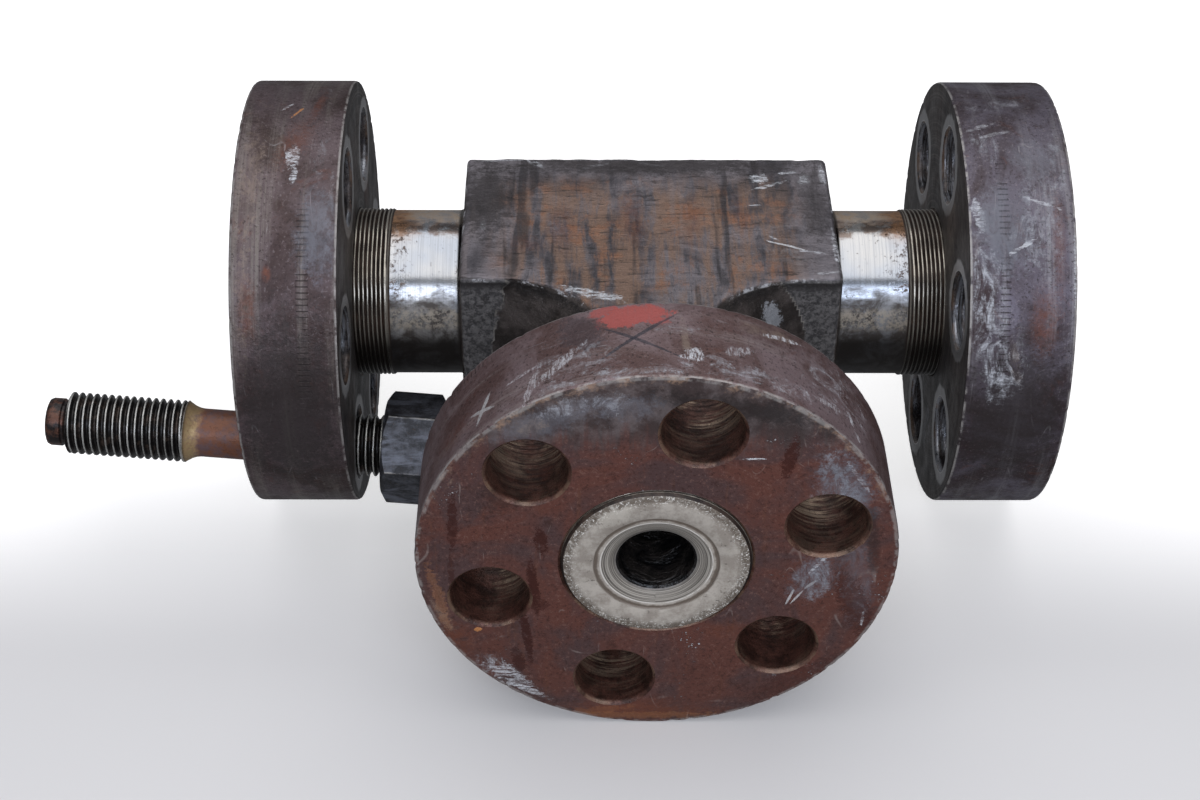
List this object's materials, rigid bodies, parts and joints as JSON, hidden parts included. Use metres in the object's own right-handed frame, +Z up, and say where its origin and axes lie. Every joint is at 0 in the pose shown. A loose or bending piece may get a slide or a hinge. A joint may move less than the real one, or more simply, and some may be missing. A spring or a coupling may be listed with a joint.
{
  "type": "high-pressure pipe tee with screwed flanges",
  "caption": "Forged high-pressure pipe tee: rounded block body, threaded spigots with lens-ring seats, screwed round flanges and a loose waisted stud with its heavy hex nut.",
  "frame": {"origin": "where the axes of the run bore and the branch bore cross, in the middle of the forged block", "axes": "+X along the run bore towards the right flange, -Y along the branch bore towards the branch flange, +Z up"},
  "size_m": [0.4701, 0.2855, 0.2],
  "materials": {
    "forged_steel": "black forging scale with rust, machined spigots",
    "flange_steel": "turned steel, oxidised brown",
    "stud_steel": "rolled thread, greasy and rusty",
    "nut_steel": "black oxide"
  },
  "bodies": {
    "tee": {"tee_body": "forged_steel"},
    "left_flange": {"left_flange": "flange_steel"},
    "right_flange": {"right_flange": "flange_steel"},
    "branch_flange": {"branch_flange": "flange_steel"},
    "stud": {"stud": "stud_steel"},
    "nut": {"stud_nut": "nut_steel"}
  },
  "joints": [
    {"name": "left_flange_turn", "type": "hinge", "parent": "tee", "child": "left_flange", "pos_m": [-0.1605, 0, 0], "axis": [-1, 0, 0], "continuous": true},
    {"name": "right_flange_turn", "type": "hinge", "parent": "tee", "child": "right_flange", "pos_m": [0.1605, 0, 0], "axis": [1, 0, 0], "continuous": true},
    {"name": "branch_flange_turn", "type": "hinge", "parent": "tee", "child": "branch_flange", "pos_m": [0, -0.1605, 0], "axis": [0, -1, 0], "continuous": true},
    {"name": "stud_slide", "type": "slide", "parent": "left_flange", "child": "stud", "axis": [0.9973, -0.0485, -0.0556], "range_m": [-0.0098, 0.005]},
    {"name": "nut_turn", "type": "hinge", "parent": "stud", "child": "nut", "pos_m": [-0.1106, -0.05608, -0.05107], "axis": [0.9973, -0.0485, -0.0556], "continuous": true}
  ]
}
